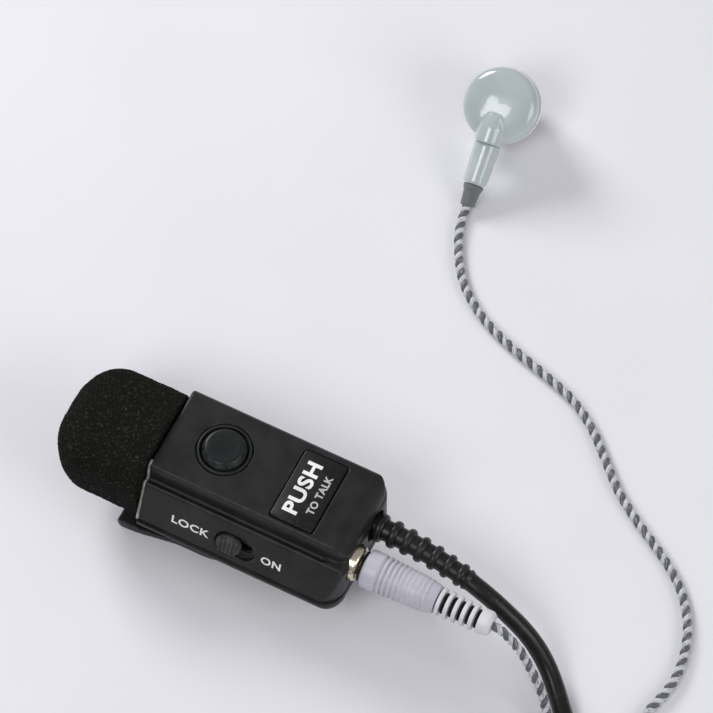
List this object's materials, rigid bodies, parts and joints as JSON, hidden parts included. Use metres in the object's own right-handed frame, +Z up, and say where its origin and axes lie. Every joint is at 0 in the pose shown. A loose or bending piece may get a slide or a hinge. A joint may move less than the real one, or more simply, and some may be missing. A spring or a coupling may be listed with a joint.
{
  "type": "lavalier microphone",
  "caption": "Clip-on push-to-talk microphone with foam windscreen, lock switch, sprung swivel clip, cable with two-pin radio plug, and a plugged-in earphone on a twisted cord.",
  "frame": {"origin": "under the middle of the microphone's housing, on the surface that its clip rests on", "axes": "+X along the microphone towards its cable, -Y the side with the lock switch, +Z up out of the push-to-talk face"},
  "size_m": [0.1473, 0.1848, 0.0247],
  "materials": {
    "shell_plastic": "fine matte texture",
    "button_plastic": "satin",
    "label_black": "gloss with white lettering",
    "black_rubber": "satin moulded",
    "cable_jacket": "satin jacket",
    "foam": "open-cell foam",
    "steel": "bright",
    "gold": "polished gold flash",
    "board": "solder mask",
    "switch_black": "moulded",
    "grey_plastic": "satin",
    "blue_grey": "gloss",
    "white_plastic": "gloss",
    "twisted_cord": "grey and white strands twisted together",
    "grey_silicone": "matte silicone",
    "knob_grey": "satin"
  },
  "bodies": {
    "mic_unit": {"front_shell": "shell_plastic", "back_cover": "shell_plastic", "shell_screw_1": "steel", "shell_screw_2": "steel", "shell_screw_3": "steel", "label_plate": "label_black", "button_bezel": "shell_plastic", "circuit_board": "board", "tact_switch_body": "switch_black", "slide_switch_body": "steel", "windscreen_cage": "shell_plastic", "capsule_boot": "black_rubber", "microphone_capsule": "steel", "cable_strain_relief": "black_rubber", "jack_socket": "switch_black", "jack_collar": "gold", "swivel_washer": "shell_plastic", "cable": "cable_jacket", "cable_coil": "cable_jacket", "cable_tie": "switch_black", "cable_tail": "cable_jacket", "radio_plug_strain_relief": "black_rubber", "radio_plug_body": "shell_plastic", "radio_plug_pin_large": "gold", "radio_plug_pin_small": "gold", "earphone_plug_pin": "gold", "earphone_plug_body": "grey_plastic", "earphone_plug_strain_relief": "grey_plastic", "earphone_cord": "twisted_cord", "earphone_cord_coil": "twisted_cord", "earphone_cord_tie": "switch_black", "earphone_cord_return": "twisted_cord", "earphone_rear_cap": "blue_grey", "earphone_trim_ring": "switch_black", "earphone_front_shell": "white_plastic", "earphone_driver": "steel", "earphone_mesh": "steel", "ear_tip": "grey_silicone", "earphone_stem": "blue_grey", "earphone_stem_strain_relief": "grey_silicone"},
    "ptt": {"ptt_button": "button_plastic", "tact_switch_plunger": "switch_black"},
    "lock": {"lock_knob": "knob_grey", "slide_switch_actuator": "white_plastic"},
    "windscreen": {"foam_windscreen": "foam"},
    "clip_base": {"clip_upper_arm": "shell_plastic", "clip_pin": "steel", "swivel_rivet": "steel", "clip_spring": "steel"},
    "clip_jaw": {"clip_lower_arm": "shell_plastic"}
  },
  "joints": [
    {"name": "push_to_talk", "type": "slide", "parent": "mic_unit", "child": "ptt", "axis": [0, 0, -1], "range_m": [0, 0.0007], "stiffness_N_per_m": 1200, "springref_m": -0.0005},
    {"name": "lock_slide", "type": "slide", "parent": "mic_unit", "child": "lock", "axis": [1, 0, 0], "range_m": [0, 0.0024]},
    {"name": "windscreen_pull", "type": "slide", "parent": "mic_unit", "child": "windscreen", "axis": [-1, 0, 0], "range_m": [0, 0.014]},
    {"name": "clip_swivel", "type": "hinge", "parent": "mic_unit", "child": "clip_base", "pos_m": [-0.0054, 0, 0.007], "axis": [0, 0, 1], "continuous": true},
    {"name": "clip_open", "type": "hinge", "parent": "clip_base", "child": "clip_jaw", "pos_m": [-0.0109, 0, 0.0037], "axis": [0, 1, 0], "range_deg": [0, 18], "stiffness_Nm_per_rad": 0.08, "springref_deg": -17.19, "deforming": ["clip_spring"]}
  ]
}
